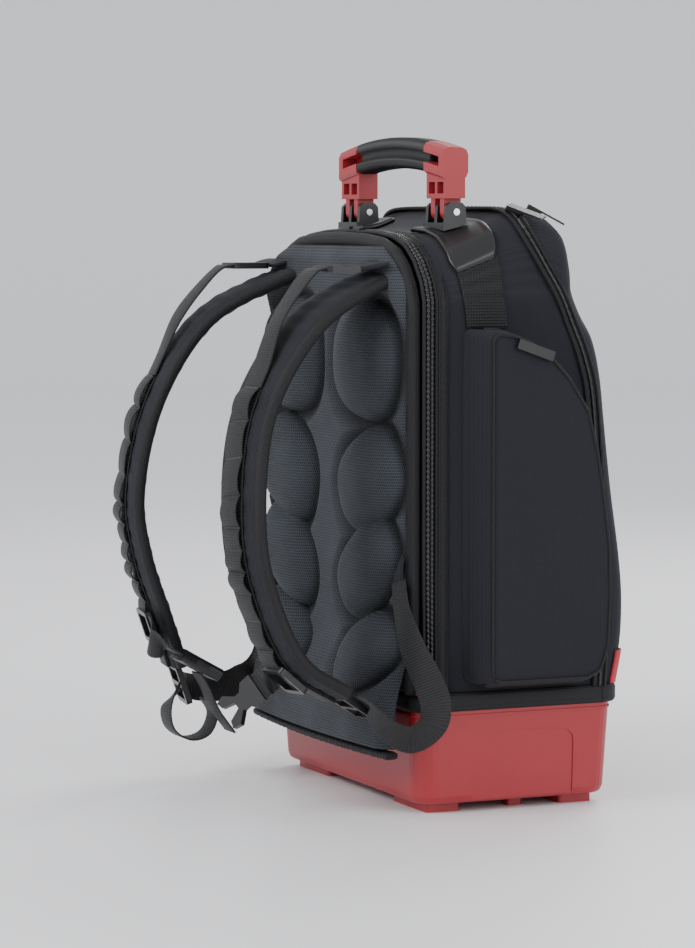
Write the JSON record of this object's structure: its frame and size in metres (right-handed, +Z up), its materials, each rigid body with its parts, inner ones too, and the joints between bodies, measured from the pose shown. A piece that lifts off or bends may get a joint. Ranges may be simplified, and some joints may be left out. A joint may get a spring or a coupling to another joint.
{
  "type": "tool backpack",
  "caption": "Tool backpack with a hard moulded base on feet, hollow fabric body, side pockets, moulded mesh back pad, padded shoulder straps and a folding top handle.",
  "frame": {"origin": "on the floor, under the middle of the whole part's bounding box, straps included", "axes": "+Z up, -Y towards the wearer and the straps, +Y to the front panel, +X to the wearer's left"},
  "size_m": [0.3646, 0.3474, 0.548],
  "materials": {
    "red_shell": "satin with a fine grain",
    "red_handle": "fine grain",
    "navy_fabric": "plain woven",
    "black_fabric": "ribbed tape and zip",
    "spacer_mesh": "open mesh over foam",
    "webbing": "ribbed webbing",
    "black_plastic": "satin",
    "rubber": "ribbed",
    "rivet_steel": "bright",
    "red_fabric": "folded ribbon"
  },
  "bodies": {
    "bag": {"base_tray": "red_shell", "base_band": "black_fabric", "main_shell": "navy_fabric", "front_shell": "navy_fabric", "front_trim": "black_fabric", "rear_zip": "black_fabric", "back_cover": "black_fabric", "back_pad": "spacer_mesh", "pad_binding": "black_fabric", "side_pocket_left": "navy_fabric", "side_pocket_right": "navy_fabric", "handle_patch_left": "black_plastic", "handle_patch_right": "black_plastic", "side_webbing_left": "webbing", "side_webbing_right": "webbing", "bracket_left": "black_plastic", "bracket_right": "black_plastic", "rivet_left": "rivet_steel", "rivet_right": "rivet_steel", "strap_left": "navy_fabric", "strap_right": "navy_fabric", "strap_webbing_left": "webbing", "strap_webbing_right": "webbing", "lifter_webbing_left": "webbing", "lifter_webbing_right": "webbing", "lifter_buckle_left": "black_plastic", "lifter_buckle_right": "black_plastic", "lifter_tab_left": "navy_fabric", "lifter_tab_right": "navy_fabric", "ladder_lock_left": "black_plastic", "ladder_lock_right": "black_plastic", "lower_webbing_left": "webbing", "lower_webbing_right": "webbing", "side_tab_left": "navy_fabric", "side_tab_right": "navy_fabric", "chest_glide_left": "black_plastic", "chest_glide_right": "black_plastic", "chest_webbing_left": "webbing", "chest_webbing_right": "webbing", "chest_buckle_male": "black_plastic", "chest_buckle_female": "black_plastic", "chest_tail": "webbing", "loop_tail": "webbing", "top_pull_rear": "black_plastic", "top_pull_front": "black_plastic", "rear_pull_left": "black_plastic", "rear_pull_right": "black_plastic", "pocket_pull_left": "black_plastic", "pocket_pull_right": "black_plastic", "zip_tab_left": "red_fabric", "zip_tab_right": "red_fabric", "front_tab_left": "red_fabric", "front_tab_right": "red_fabric"},
    "handle": {"handle_leg_left": "red_handle", "handle_leg_right": "red_handle", "handle_grip": "rubber"}
  },
  "joints": [
    {"name": "handle_fold", "type": "hinge", "parent": "bag", "child": "handle", "pos_m": [0, 0.03264, 0.4856], "axis": [1, 0, 0], "range_deg": [-45, 80]}
  ]
}
